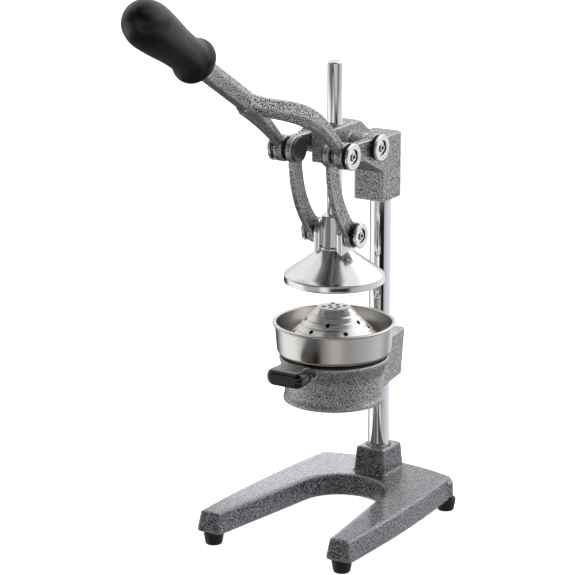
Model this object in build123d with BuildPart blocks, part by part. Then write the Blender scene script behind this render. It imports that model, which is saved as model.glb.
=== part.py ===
from build123d import *
from math import acos, asin, atan2, cos, degrees, hypot, pi, radians, sin, sqrt, tan
import os

os.makedirs("parts", exist_ok=True)

# Hand-lever citrus press. Millimetres, +Z up, +X to the user's right, -Y towards the user.
# The origin is on the table, under the middle of the whole press.

# ---- places ----
press_y = 115.57
column_y = press_y + 90.8

# ---- base ----
foot_height = 13.0
foot_top_radius = 10.0
foot_bottom_radius = 8.0
foot_x = 74.0
foot_front_y = press_y - 107.0
foot_rear_y = press_y + 101.0
base_thickness = 21.5
base_draft = 10.0
leg_end_y = press_y - 117.0
leg_outer_x = 89.0
leg_inner_x = 60.5
base_widest_y = press_y - 20.0
base_widest_x = 89.3
rear_corner_x = 79.5
rear_corner_y = press_y + 110.0
rear_middle_y = press_y + 124.0
throat_centre_y = press_y + 12.0
throat_radius = 42.5
base_wall = 6.0
base_top_z = foot_height + base_thickness
boss_top_z = 61.0
boss_width = 37.0
boss_depth = 41.5
boss_draft = 5.2

# ---- column ----
column_radius = 11.0
column_bottom_z = base_top_z - 8.0
column_top_z = 380.0

# ---- ring bracket, funnel and strainer ----
ring_bottom_z = 134.8
ring_top_z = 180.6
ring_radius = 50.4
ring_wall = 5.0
ring_flare_radius = 54.6
clamp_top_z = 184.0
clamp_half_width = 18.5
clamp_rear_y = column_y + 20.4
clamp_draft = 3.5
notch_half_width = 10.0
notch_bottom_z = 171.0
funnel_sheet = 1.5
funnel_rim_radius = 52.4
funnel_rim_z = ring_top_z
funnel_inside_radius = 43.6
spout_radius = 9.5
spout_bottom_z = 122.0
gasket_thickness = 2.2
gasket_outer_radius = 54.0
bowl_bottom_z = 183.2
bowl_rim_z = 215.6
bowl_rim_radius = 61.45
bowl_bottom_radius = 56.9
bowl_wall_radius = 58.9
bowl_sheet = 1.4
bowl_floor_hole = 40.5
cone_foot_radius = 47.5
cone_base_radius = 42.7
cone_base_z = 202.0
cone_top_radius = 18.0
cone_top_z = 230.2
cone_sheet = 1.6
cone_steps = 5
strainer_hole = 2.2
strainer_rows = [(5, 28.0, 0.0), (6, 34.5, 20.4), (4, 39.8, 35.9)]  # count, radius and first angle

# ---- bell and guide rod ----
bell_rim_z = 256.3
bell_radius = 50.0
bell_band = 8.0
bell_neck_foot_z = 291.5
bell_neck_radius = 13.3
bell_neck_top_radius = 12.4
bell_neck_top_z = 324.0
bell_wall = 3.3
rod_radius = 7.5
rod_bottom_z = 300.0
rod_top_z = 477.0

# ---- head casting ----
head_bottom_z = 324.0
head_top_z = 390.0
head_half_width = 17.0
head_front_y = column_y - 24.6
head_rear_y = column_y + 14.5
arm_half_width = 12.0
arm_front_y = press_y - 24.0
arm_bottom_z = 380.0
arm_top_z = 414.8
arm_top_rear_y = press_y + 29.0
gusset_tip_y = press_y + 26.0
gusset_tip_z = 375.0
gusset_foot_z = 355.0
boss_radius = 13.0
boss_half_span = 28.5

# ---- pivots ----
pivot_y = press_y + 15.0
pivot_z = 393.0
crank_y = press_y - 39.5
crank_z = 394.5
bell_pin_y = press_y
bell_pin_z = 306.0
pin_radius = 5.0
running_gap = 0.05
body_gap = 0.4
eye_radius = 13.2
lever_inner_x = 29.5
lever_outer_x = 38.5
link_inner_x = 18.0
link_outer_x = 24.0
link_half_height = 8.5
link_bow = 12.0
link_top_eye = 13.6
bell_eye_radius = 13.0
open_eye_bore = 8.9
ear_inner_x = 9.5
ear_outer_x = 16.6

# ---- lever and grip ----
lever_angle = 31.2
lever_height = 18.5
shaft_width = 16.0
grip_start_y = press_y - 241.4
grip_start_z = 515.8
grip_length = 117.8


def finish(piece, label):
    """Label a piece and write its STEP file."""
    piece.part.label = label
    export_step(piece.part, f"parts/{label}.step")


# ---------------------------------------------------------------- base
def base_outline(inset=0.0):
    """Horseshoe seen from above, drawn in from the bottom edge of the casting by an inset."""
    end_y = leg_end_y + inset
    outer_x, inner_x = leg_outer_x - inset, leg_inner_x + inset
    widest_x, corner_x = base_widest_x - inset, rear_corner_x - inset
    corner_y, middle_y = rear_corner_y - inset, rear_middle_y - inset
    radius = throat_radius + inset
    leg_drop = throat_centre_y - end_y
    tangent = acos(radius / hypot(inner_x, leg_drop)) - atan2(leg_drop, inner_x)
    throat_x, throat_y = radius * cos(tangent), throat_centre_y + radius * sin(tangent)
    with BuildLine() as line:
        Line((inner_x, end_y), (outer_x, end_y))
        ThreePointArc((outer_x, end_y), (widest_x, base_widest_y), (corner_x, corner_y))
        ThreePointArc((corner_x, corner_y), (0, middle_y), (-corner_x, corner_y))
        ThreePointArc((-corner_x, corner_y), (-widest_x, base_widest_y), (-outer_x, end_y))
        Line((-outer_x, end_y), (-inner_x, end_y))
        Line((-inner_x, end_y), (-throat_x, throat_y))
        ThreePointArc((-throat_x, throat_y), (0, throat_centre_y + radius), (throat_x, throat_y))
        Line((throat_x, throat_y), (inner_x, end_y))
    return line.line


foot_places = [(x, y) for x in (-foot_x, foot_x) for y in (foot_front_y, foot_rear_y)]

with BuildPart() as base_casting:
    with BuildSketch(Plane.XY.offset(foot_height)) as horseshoe:
        add(base_outline())
        make_face()
        fillet(horseshoe.vertices().group_by(Axis.Y)[0], 4.0)
        fillet(horseshoe.vertices().group_by(Axis.Y)[-1], 5.0)
    extrude(amount=base_thickness, taper=base_draft)
    fillet(base_casting.faces().sort_by(Axis.Z)[-1].edges(), 2.0)
    with BuildSketch(Plane.XY.offset(foot_height)):
        add(base_outline(base_wall))
        make_face()
    extrude(amount=base_thickness - base_wall, mode=Mode.SUBTRACT)
    with Locations(*[(x, y, foot_height) for x, y in foot_places]):
        Cylinder(foot_top_radius - 2.5, base_thickness - 4.0, align=(Align.CENTER, Align.CENTER, Align.MIN))
    with Locations((0, column_y, foot_height)):
        Cylinder(column_radius + 8.0, base_thickness - 4.0, align=(Align.CENTER, Align.CENTER, Align.MIN))
    with BuildSketch(Plane.XY.offset(base_top_z)):
        with Locations((0, column_y)):
            RectangleRounded(boss_width, boss_depth, 3.5)
    extrude(amount=boss_top_z - base_top_z, taper=boss_draft)
    with Locations((0, column_y, boss_top_z)):
        Hole(column_radius, depth=boss_top_z - column_bottom_z)
        Hole(column_radius + 1.6, depth=3.0)
    with Locations((0, column_y, foot_height)):
        Cylinder(5.2, 20.0, align=(Align.CENTER, Align.CENTER, Align.MIN), mode=Mode.SUBTRACT)
    with Locations(*[(x, y, foot_height) for x, y in foot_places]):
        Cylinder(2.5, 10.0, align=(Align.CENTER, Align.CENTER, Align.MIN), mode=Mode.SUBTRACT)
finish(base_casting, "base_casting")

for index, (x, y) in enumerate(foot_places):
    side = "left" if x < 0 else "right"
    end = "front" if y == foot_front_y else "rear"
    with BuildPart() as foot:
        with BuildSketch(Plane.XZ.offset(-y)):
            with BuildLine():
                Polyline((x, 0), (x + foot_bottom_radius - 1.2, 0), (x + foot_bottom_radius, 1.2),
                         (x + foot_top_radius, foot_height - 1.0), (x + foot_top_radius, foot_height),
                         (x, foot_height), close=True)
            make_face()
        revolve(axis=Axis((x, y, 0), (0, 0, 1)))
        with Locations((x, y, 0)):
            Cylinder(4.8, 5.0, align=(Align.CENTER, Align.CENTER, Align.MIN), mode=Mode.SUBTRACT)
            Cylinder(2.5, foot_height, align=(Align.CENTER, Align.CENTER, Align.MIN), mode=Mode.SUBTRACT)
    finish(foot, f"foot_{end}_{side}")

with BuildPart() as foot_screws:
    with Locations(*[(x, y, 1.5) for x, y in foot_places]):
        Cylinder(4.4, 3.5, align=(Align.CENTER, Align.CENTER, Align.MIN))
        Cylinder(2.5, foot_height + 6.0, align=(Align.CENTER, Align.CENTER, Align.MIN))
        Box(6.0, 1.0, 1.2, align=(Align.CENTER, Align.CENTER, Align.MIN), mode=Mode.SUBTRACT)
finish(foot_screws, "foot_screws")

# ---------------------------------------------------------------- column
with BuildPart() as column:
    with Locations((0, column_y, column_bottom_z)):
        Cylinder(column_radius, column_top_z - column_bottom_z, align=(Align.CENTER, Align.CENTER, Align.MIN))
        Cylinder(5.0, 16.0, align=(Align.CENTER, Align.CENTER, Align.MIN), mode=Mode.SUBTRACT)
    chamfer(column.edges().filter_by(GeomType.CIRCLE).group_by(Axis.Z)[-1], 1.0)
finish(column, "column")

with BuildPart() as column_washer:
    with Locations((0, column_y, foot_height)):
        Cylinder(9.5, 1.6, align=(Align.CENTER, Align.CENTER, Align.MAX))
        Cylinder(5.2, 1.6, align=(Align.CENTER, Align.CENTER, Align.MAX), mode=Mode.SUBTRACT)
finish(column_washer, "column_washer")

with BuildPart() as column_bolt:
    with BuildSketch(Plane.XY.offset(foot_height - 1.6)):
        with Locations((0, column_y)):
            RegularPolygon(8.0, 6)
    extrude(amount=-6.4)
    with Locations((0, column_y, foot_height - 1.6)):
        Cylinder(5.0, column_bottom_z + 14.0 - foot_height + 1.6, align=(Align.CENTER, Align.CENTER, Align.MIN))
finish(column_bolt, "column_bolt")

# ---------------------------------------------------------------- ring bracket
web_ring_x = 29.0
web_ring_y = press_y + sqrt((ring_radius - 1.0) ** 2 - web_ring_x ** 2)
clamp_front_y = press_y + 66.0

with BuildPart() as ring_bracket:
    with BuildSketch(Plane.XY.offset(clamp_top_z)) as clamp:
        with BuildLine():
            Polyline((clamp_half_width, clamp_rear_y), (-clamp_half_width, clamp_rear_y),
                     (-clamp_half_width - 7.0, clamp_front_y), (clamp_half_width + 7.0, clamp_front_y), close=True)
        make_face()
        fillet(clamp.vertices().group_by(Axis.Y)[-1], 3.0)
    extrude(amount=ring_bottom_z - clamp_top_z, taper=clamp_draft)
    with BuildSketch(Plane.XY.offset(ring_bottom_z)):
        with BuildLine():
            Polyline((web_ring_x, web_ring_y - 6.0), (-web_ring_x, web_ring_y - 6.0),
                     (-clamp_half_width - 4.6, clamp_front_y + 3.0), (clamp_half_width + 4.6, clamp_front_y + 3.0),
                     close=True)
        make_face()
    extrude(amount=ring_top_z - ring_bottom_z - 2.0)
    with BuildSketch(Plane.YZ) as ring_section:
        with BuildLine():
            Polyline((press_y, ring_bottom_z), (press_y + ring_radius, ring_bottom_z),
                     (press_y + ring_radius, ring_bottom_z + 3.5), (press_y + ring_radius - 1.4, ring_bottom_z + 6.0),
                     (press_y + ring_radius - 0.8, ring_top_z - 17.0), (press_y + ring_flare_radius, ring_top_z - 3.0),
                     (press_y + ring_flare_radius, ring_top_z), (press_y, ring_top_z), close=True)
        make_face()
    revolve(axis=Axis((0, press_y, 0), (0, 0, 1)))
    with BuildSketch(Plane.YZ):
        with BuildLine():
            Polyline((press_y, ring_bottom_z - 1.0), (press_y + ring_radius - ring_wall, ring_bottom_z - 1.0),
                     (press_y + ring_radius - ring_wall, ring_top_z - 3.0),
                     (press_y + funnel_rim_radius + 0.1, ring_top_z - 1.5),
                     (press_y + funnel_rim_radius + 0.1, ring_top_z + 1.0), (press_y, ring_top_z + 1.0), close=True)
        make_face()
    revolve(axis=Axis((0, press_y, 0), (0, 0, 1)), mode=Mode.SUBTRACT)
    with BuildSketch(Plane.XZ.offset(-press_y)):
        with Locations((0, notch_bottom_z)):
            Rectangle(2 * notch_half_width, 20.0, align=(Align.CENTER, Align.MIN))
    extrude(amount=60.0, mode=Mode.SUBTRACT)
    with Locations((0, column_y, clamp_top_z)):
        Hole(column_radius, depth=80.0)
    with BuildSketch(Plane.XZ.offset(-clamp_rear_y - 2.0)):
        with Locations((0, ring_bottom_z + 14.0), (0, ring_bottom_z + 36.0)):
            Circle(3.0)
    extrude(amount=clamp_rear_y + 2.0 - column_y, mode=Mode.SUBTRACT)
finish(ring_bracket, "ring_bracket")

with BuildPart() as ring_set_screws:
    with BuildSketch(Plane.XZ.offset(-column_y - column_radius - 8.0)) as screw_ends:
        with Locations((0, ring_bottom_z + 14.0), (0, ring_bottom_z + 36.0)):
            Circle(3.0)
    extrude(amount=8.0)
    with BuildSketch(Plane.XZ.offset(-column_y - column_radius - 8.0)):
        with Locations((0, ring_bottom_z + 14.0), (0, ring_bottom_z + 36.0)):
            RegularPolygon(1.7, 6)
    extrude(amount=4.0, mode=Mode.SUBTRACT)
finish(ring_set_screws, "ring_set_screws")

# ---------------------------------------------------------------- funnel
with BuildPart() as funnel:
    with BuildSketch(Plane.YZ):
        with BuildLine():
            Polyline((press_y + funnel_inside_radius, ring_top_z), (press_y + funnel_rim_radius, ring_top_z),
                     (press_y + funnel_rim_radius, ring_top_z - funnel_sheet),
                     (press_y + funnel_inside_radius + funnel_sheet, ring_top_z - funnel_sheet),
                     (press_y + funnel_inside_radius + funnel_sheet, ring_top_z - 18.0),
                     (press_y + spout_radius + funnel_sheet, spout_bottom_z + 14.0),
                     (press_y + spout_radius + funnel_sheet - 1.0, spout_bottom_z),
                     (press_y + spout_radius - 1.0, spout_bottom_z),
                     (press_y + spout_radius, spout_bottom_z + 14.0 + 0.9),
                     (press_y + funnel_inside_radius, ring_top_z - 18.0 + 0.9), close=True)
        make_face()
    revolve(axis=Axis((0, press_y, 0), (0, 0, 1)))
finish(funnel, "funnel")

handle_rear_y = press_y - 71.5
handle_front_y = press_y - 96.5
handle_middle_y = 0.5 * (handle_rear_y + handle_front_y)
handle_bevel = 3.4
handle_z = 179.4
strap_neck_half_width = 8.0
strap_half_width = 14.0
strap_z = 173.4
plate_z = 186.6
strap_sheet = 1.6
strap_bend_y = press_y - 62.0
strap_rise_y = press_y - 70.6
strap_end_y = press_y - 80.0
plate_depth = 20.0

neck_outline = [
    (press_y - funnel_inside_radius, strap_z), (strap_bend_y, strap_z), (strap_rise_y, plate_z),
    (strap_end_y, plate_z), (strap_end_y, plate_z + strap_sheet), (strap_rise_y - 0.8, plate_z + strap_sheet),
    (strap_bend_y - 0.6, strap_z + strap_sheet), (press_y - funnel_inside_radius, strap_z + strap_sheet),
]

with BuildPart() as funnel_strap:
    with BuildSketch(Plane.YZ.offset(-strap_neck_half_width)):
        with BuildLine():
            Polyline(*neck_outline, close=True)
        make_face()
    extrude(amount=2 * strap_neck_half_width)
    with Locations((0, handle_middle_y, plate_z + 0.5 * strap_sheet)):
        Box(2 * strap_half_width, plate_depth, strap_sheet)
    with Locations((0, press_y, strap_z)):
        Cylinder(funnel_inside_radius + funnel_sheet, 20.0, mode=Mode.SUBTRACT)
finish(funnel_strap, "funnel_strap")


def grip_slice(y, width, height, corner, z):
    """Rounded slice of the funnel grip."""
    with BuildSketch(Plane.XZ.offset(-y)) as slice_sketch:
        with Locations((0, z)):
            RectangleRounded(width, height, corner)
    return slice_sketch.sketch.face()


with BuildPart() as funnel_grip:
    loft([grip_slice(handle_rear_y, 36.0, 15.4, 6.8, handle_z - 0.4),
          grip_slice(handle_middle_y, 41.0, 17.6, 7.8, handle_z),
          grip_slice(handle_front_y, 38.6, 16.2, 7.2, handle_z)])
    chamfer(funnel_grip.faces().sort_by(Axis.Y)[0].edges(), handle_bevel)
    with Locations((0, handle_middle_y, plate_z)):
        Box(60.0, 40.0, 20.0, align=(Align.CENTER, Align.CENTER, Align.MIN), mode=Mode.SUBTRACT)
finish(funnel_grip, "funnel_grip")

# ---------------------------------------------------------------- gasket, bowl and strainer cone
with BuildPart() as gasket:
    with BuildSketch(Plane.XY.offset(ring_top_z)):
        with Locations((0, press_y)):
            Circle(gasket_outer_radius)
            Circle(funnel_inside_radius + 1.0, mode=Mode.SUBTRACT)
    extrude(amount=gasket_thickness)
finish(gasket, "gasket")

with BuildPart() as strainer_bowl:
    with BuildSketch(Plane.YZ) as bowl_section:
        with BuildLine():
            Polyline((press_y + bowl_floor_hole, bowl_bottom_z), (press_y + bowl_bottom_radius - 4.0, bowl_bottom_z),
                     (press_y + bowl_bottom_radius - 1.2, bowl_bottom_z + 1.2),
                     (press_y + bowl_bottom_radius, bowl_bottom_z + 4.0),
                     (press_y + bowl_wall_radius, bowl_rim_z - 2.6),
                     (press_y + bowl_rim_radius - 1.6, bowl_rim_z - 1.2),
                     (press_y + bowl_wall_radius - bowl_sheet, bowl_rim_z - 0.8),
                     (press_y + bowl_bottom_radius - bowl_sheet, bowl_bottom_z + 4.4),
                     (press_y + bowl_bottom_radius - 1.2 - bowl_sheet, bowl_bottom_z + 2.2),
                     (press_y + bowl_bottom_radius - 4.4, bowl_bottom_z + bowl_sheet),
                     (press_y + bowl_floor_hole, bowl_bottom_z + bowl_sheet), close=True)
        make_face()
        with Locations((press_y + bowl_rim_radius - 1.5, bowl_rim_z - 1.5)):
            Circle(1.5)
    revolve(axis=Axis((0, press_y, 0), (0, 0, 1)))
finish(strainer_bowl, "strainer_bowl")


def cone_profile(drop):
    """Stepped outline of the strainer from its top edge down to its foot."""
    run = (cone_base_radius - cone_top_radius) / cone_steps
    fall = (cone_top_z - 2.0 - cone_base_z) / cone_steps
    points = [(0, cone_top_z - drop), (cone_top_radius - 2.0, cone_top_z - drop)]
    radius, height = cone_top_radius, cone_top_z - 2.0 - drop
    points.append((radius, height))
    for _ in range(cone_steps):
        points.append((radius + 0.8 * run, height - 0.72 * fall))
        radius += run
        height -= fall
        points.append((radius, height))
    return points


with BuildPart() as strainer_cone:
    with BuildSketch(Plane.YZ):
        with BuildLine():
            outside = cone_profile(0.0)
            inside = [(r, z) for r, z in reversed(cone_profile(cone_sheet * 1.45))]
            foot_z = bowl_bottom_z + bowl_sheet
            corner = [(cone_base_radius + 1.6, foot_z + 4.0), (cone_foot_radius, foot_z + cone_sheet),
                      (cone_foot_radius + 3.0, foot_z + cone_sheet), (cone_foot_radius + 3.0, foot_z),
                      (cone_foot_radius - 1.5, foot_z), (cone_base_radius, foot_z + 3.6)]
            Polyline(*[(press_y + r, z) for r, z in outside + corner + inside], close=True)
        make_face()
    revolve(axis=Axis((0, press_y, 0), (0, 0, 1)))
    with BuildSketch(Plane.XY.offset(cone_top_z - 6.0)):
        with Locations((0, press_y)):
            with PolarLocations(10.4, 4, start_angle=38):
                Circle(strainer_hole)
            with PolarLocations(5.4, 4, start_angle=83):
                Circle(strainer_hole)
    extrude(amount=8.0, mode=Mode.SUBTRACT)
    # The side holes are drilled square to the slope.
    slope_lean = degrees(atan2(cone_top_z - 2.0 - cone_base_z, cone_base_radius - cone_top_radius))
    for count, radius, start in strainer_rows:
        height = cone_base_z + (cone_base_radius - radius) * tan(radians(slope_lean))
        for number in range(count):
            turn = start + 360.0 * number / count
            spot = (radius * cos(radians(turn)), press_y + radius * sin(radians(turn)), height)
            with Locations(Location(spot, (0, 0, turn)) * Location((0, 0, 0), (0, 90.0 - slope_lean, 0))):
                Cylinder(strainer_hole, 12.0, mode=Mode.SUBTRACT)
finish(strainer_cone, "strainer_cone")

# ---------------------------------------------------------------- bell and guide rod
shoulder_radius = bell_radius - 2.6
inner_lift = 4.2

with BuildPart() as press_bell:
    with BuildSketch(Plane.YZ):
        with BuildLine():
            Polyline((press_y, bell_neck_top_z), (press_y + bell_neck_top_radius - 0.8, bell_neck_top_z),
                     (press_y + bell_neck_top_radius, bell_neck_top_z - 0.8),
                     (press_y + bell_neck_radius, bell_neck_foot_z + 1.6),
                     (press_y + bell_neck_radius + 1.4, bell_neck_foot_z),
                     (press_y + bell_neck_radius + 1.4, bell_neck_foot_z - 1.2),
                     (press_y + shoulder_radius - 1.2, bell_rim_z + bell_band + 2.6),
                     (press_y + bell_radius - 0.9, bell_rim_z + bell_band + 0.9),
                     (press_y + bell_radius, bell_rim_z + bell_band - 1.4),
                     (press_y + bell_radius, bell_rim_z + 0.8), (press_y + bell_radius - 0.8, bell_rim_z),
                     (press_y + bell_radius - bell_wall, bell_rim_z),
                     (press_y + bell_radius - bell_wall, bell_rim_z + bell_band - 2.4),
                     (press_y + 14.0, bell_neck_foot_z - inner_lift - 1.2),
                     (press_y, bell_neck_foot_z - inner_lift - 1.2), close=True)
        make_face()
    revolve(axis=Axis((0, press_y, 0), (0, 0, 1)))
    for side in (-1, 1):
        with BuildSketch(Plane.YZ.offset(side * ear_inner_x)) as ear_outline:
            with Locations((bell_pin_y, bell_pin_z)):
                Circle(bell_eye_radius)
            with Locations((bell_pin_y, bell_pin_z)):
                Rectangle(2 * bell_eye_radius, 19.0, align=(Align.CENTER, Align.MAX))
        extrude(amount=side * (ear_outer_x - ear_inner_x))
    with Locations((0, press_y, bell_rim_z - 1.0)):
        Cone(bell_radius - bell_wall, 8.0, bell_neck_foot_z - inner_lift - bell_rim_z - 4.0,
             align=(Align.CENTER, Align.CENTER, Align.MIN), mode=Mode.SUBTRACT)
    with Locations((0, press_y, rod_bottom_z)):
        Cylinder(rod_radius, 60.0, align=(Align.CENTER, Align.CENTER, Align.MIN), mode=Mode.SUBTRACT)
    with BuildSketch(Plane.YZ.offset(-ear_outer_x)):
        with Locations((bell_pin_y, bell_pin_z)):
            Circle(3.0)
    extrude(amount=ear_outer_x - ear_inner_x, mode=Mode.SUBTRACT)
    with BuildSketch(Plane.YZ.offset(ear_outer_x)):
        with Locations((bell_pin_y, bell_pin_z)):
            Circle(3.0)
    extrude(amount=ear_inner_x - ear_outer_x, mode=Mode.SUBTRACT)
finish(press_bell, "press_bell")

with BuildPart() as guide_rod:
    with Locations((0, press_y, rod_bottom_z)):
        Cylinder(rod_radius, rod_top_z - rod_bottom_z, align=(Align.CENTER, Align.CENTER, Align.MIN))
    chamfer(guide_rod.edges().group_by(Axis.Z)[-1], 0.8)
finish(guide_rod, "guide_rod")

# ---------------------------------------------------------------- head casting
bush_radius = rod_radius + 2.4

with BuildPart() as head_bracket:
    with BuildSketch(Plane.YZ.offset(-head_half_width)) as block_side:
        with BuildLine():
            Polyline((head_rear_y, head_bottom_z), (head_rear_y, head_top_z), (gusset_tip_y + 14.0, head_top_z),
                     (gusset_tip_y, gusset_tip_z + 2.0), (gusset_tip_y, gusset_tip_z),
                     (head_front_y, gusset_foot_z), (head_front_y, head_bottom_z), close=True)
        make_face()
    extrude(amount=2 * head_half_width)
    fillet(head_bracket.edges().filter_by(Axis.Z).group_by(Axis.Y)[-1], 6.0)
    with BuildSketch(Plane.YZ.offset(-arm_half_width)) as arm_side:
        with BuildLine():
            Polyline((arm_front_y, arm_bottom_z), (arm_front_y, arm_top_z), (arm_top_rear_y, arm_top_z),
                     (arm_top_rear_y + 37.0, head_top_z - 1.0), (head_front_y, gusset_foot_z + 4.0),
                     (gusset_tip_y, gusset_tip_z), (gusset_tip_y - 14.0, arm_bottom_z), close=True)
        make_face()
    extrude(amount=2 * arm_half_width)
    with BuildSketch(Plane.YZ.offset(-boss_half_span)):
        with Locations((pivot_y, pivot_z)):
            Circle(boss_radius)
    extrude(amount=2 * boss_half_span)
    with BuildSketch(Plane.YZ.offset(-boss_half_span)):
        with Locations((pivot_y, pivot_z)):
            Circle(pin_radius)
    extrude(amount=2 * boss_half_span, mode=Mode.SUBTRACT)
    with Locations((0, press_y, arm_top_z)):
        Hole(bush_radius, depth=60.0)
    with Locations((0, column_y, head_bottom_z)):
        Cylinder(column_radius, column_top_z - head_bottom_z, align=(Align.CENTER, Align.CENTER, Align.MIN),
                 mode=Mode.SUBTRACT)
    with BuildSketch(Plane.XZ.offset(-head_rear_y - 2.0)):
        with Locations((0, head_bottom_z + 16.0), (0, head_bottom_z + 44.0)):
            Circle(3.0)
    extrude(amount=head_rear_y + 2.0 - column_y, mode=Mode.SUBTRACT)
finish(head_bracket, "head_bracket")

with BuildPart() as head_set_screws:
    with BuildSketch(Plane.XZ.offset(-head_rear_y + 0.6)):
        with Locations((0, head_bottom_z + 16.0), (0, head_bottom_z + 44.0)):
            Circle(3.0)
    extrude(amount=head_rear_y - 0.6 - column_y - column_radius)
    with BuildSketch(Plane.XZ.offset(-head_rear_y + 0.6)):
        with Locations((0, head_bottom_z + 16.0), (0, head_bottom_z + 44.0)):
            RegularPolygon(1.7, 6)
    extrude(amount=1.8, mode=Mode.SUBTRACT)
finish(head_set_screws, "head_set_screws")

with BuildPart() as guide_bush:
    with Locations((0, press_y, arm_top_z + 0.8)):
        Cylinder(bush_radius, arm_top_z + 0.8 - arm_bottom_z, align=(Align.CENTER, Align.CENTER, Align.MAX))
        Cylinder(rod_radius + running_gap, 60.0, align=(Align.CENTER, Align.CENTER, Align.MAX), mode=Mode.SUBTRACT)
finish(guide_bush, "guide_bush")

# ---------------------------------------------------------------- lever
# The centre line of the right prong, from inside the shaft to the crank pin, as x, y, z.
prong_line = [
    (3.0, press_y - 163.0, 466.6),
    (10.0, press_y - 148.0, 460.0),
    (20.5, press_y - 130.0, 454.6),
    (28.5, press_y - 110.0, 447.4),
    (33.0, press_y - 90.0, 436.4),
    (34.0, press_y - 70.0, 421.2),
    (34.0, press_y - 53.0, 406.6),
    (34.0, press_y - 44.5, 398.9),
]
prong_widths = [12.5, 12.5, 13.0, 13.0, 12.5, 11.0, 9.0, 9.0]
prong_heights = [18.5, 18.5, 19.5, 20.0, 18.0, 14.5, 13.0, 13.0]
run, rise = cos(radians(lever_angle)), sin(radians(lever_angle))
shaft_top = (0, grip_start_y, grip_start_z)
shaft_end = (0, press_y - 148.0, 459.2)


def bar_section(plane, width, height):
    """Six-sided cast section, widest just above its middle, with rounded corners."""
    with BuildSketch(plane) as section:
        with BuildLine():
            Polyline((-0.26 * width, 0.5 * height), (0.26 * width, 0.5 * height), (0.5 * width, 0.12 * height),
                     (0.36 * width, -0.5 * height), (-0.36 * width, -0.5 * height), (-0.5 * width, 0.12 * height),
                     close=True)
        make_face()
        fillet(section.vertices(), 1.5)
    return section


def section_plane(at, ahead, behind):
    """Plane across a path, level in X."""
    along = (Vector(*ahead) - Vector(*behind)).normalized()
    level = Vector(1, 0, 0) - along * along.X
    return Plane(origin=at, x_dir=level, z_dir=along)


def section_planes(points):
    """Planes across a path at each of its points."""
    ends = [points[0]] + list(points) + [points[-1]]
    return [section_plane(at, ends[i + 2], ends[i]) for i, at in enumerate(points)]


with BuildPart() as lever_fork:
    for side in (-1, 1):
        path = [(side * x, y, z) for x, y, z in prong_line]
        loft([bar_section(plane, width, height).sketch.face()
              for plane, width, height in zip(section_planes(path), prong_widths, prong_heights)])
    shaft_planes = [Plane(origin=at, x_dir=(1, 0, 0), z_dir=(0, -run, rise)) for at in (shaft_top, shaft_end)]
    loft([bar_section(plane, shaft_width, lever_height).sketch.face() for plane in shaft_planes])
    for side in (-1, 1):
        with BuildSketch(Plane.YZ.offset(side * lever_inner_x)):
            with Locations((crank_y, crank_z), (pivot_y, pivot_z)):
                Circle(eye_radius)
            with BuildLine():
                Polyline((crank_y, crank_z + 9.5), (pivot_y, pivot_z + 9.5), (pivot_y, pivot_z - 9.5),
                         (crank_y, crank_z - 9.5), close=True)
            make_face()
        extrude(amount=side * (lever_outer_x - lever_inner_x))
        with BuildSketch(Plane.YZ.offset(side * lever_inner_x)):
            with Locations((crank_y, crank_z)):
                Circle(pin_radius)
            with Locations((pivot_y, pivot_z)):
                Circle(pin_radius + running_gap)
        extrude(amount=side * (lever_outer_x - lever_inner_x), mode=Mode.SUBTRACT)
    tang_plane = Plane(origin=shaft_top, x_dir=(1, 0, 0), z_dir=(0, -run, rise))
    with BuildSketch(tang_plane):
        Circle(6.0)
    extrude(amount=70.0)
finish(lever_fork, "lever_fork")

grip_axis = Axis(shaft_top, (0, -run, rise))
grip_plane = Plane(origin=shaft_top, x_dir=(0, -run, rise), z_dir=(1, 0, 0))

with BuildPart() as lever_grip:
    with BuildSketch(grip_plane) as grip_section:
        with BuildLine():
            Polyline((0, 0), (0, 19.0), (2.4, 21.4))
            Spline((2.4, 21.4), (7.0, 21.6), (14.0, 18.5), (26.0, 17.8), (45.0, 18.8), (65.0, 21.0),
                   (84.0, 22.4), (93.0, 22.2), (103.0, 19.6), (112.0, 13.2), (grip_length, 0.0),
                   tangents=((0.8, 0.6), (0.0, -1.0)))
            Line((grip_length, 0), (0, 0))
        make_face()
    revolve(axis=grip_axis)
    with BuildSketch(tang_plane):
        Circle(6.0)
    extrude(amount=70.0, mode=Mode.SUBTRACT)
finish(lever_grip, "lever_grip")

# ---------------------------------------------------------------- links
link_chord = hypot(bell_pin_y - crank_y, crank_z - bell_pin_z)
link_arc_radius = (0.25 * link_chord ** 2 + link_bow ** 2) / (2 * link_bow)
link_lean = atan2(bell_pin_y - crank_y, crank_z - bell_pin_z)


def link_rail(shift):
    """Start, middle and end of an arc beside the link's bowed centre line."""
    inward = link_arc_radius - link_bow
    centre_y = 0.5 * (crank_y + bell_pin_y) + inward * cos(link_lean)
    centre_z = 0.5 * (crank_z + bell_pin_z) + inward * sin(link_lean)
    half_angle = asin(0.5 * link_chord / link_arc_radius)
    turns = [pi + link_lean - half_angle, pi + link_lean, pi + link_lean + half_angle]
    radius = link_arc_radius + shift
    return [(centre_y + radius * cos(turn), centre_z + radius * sin(turn)) for turn in turns]


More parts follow.
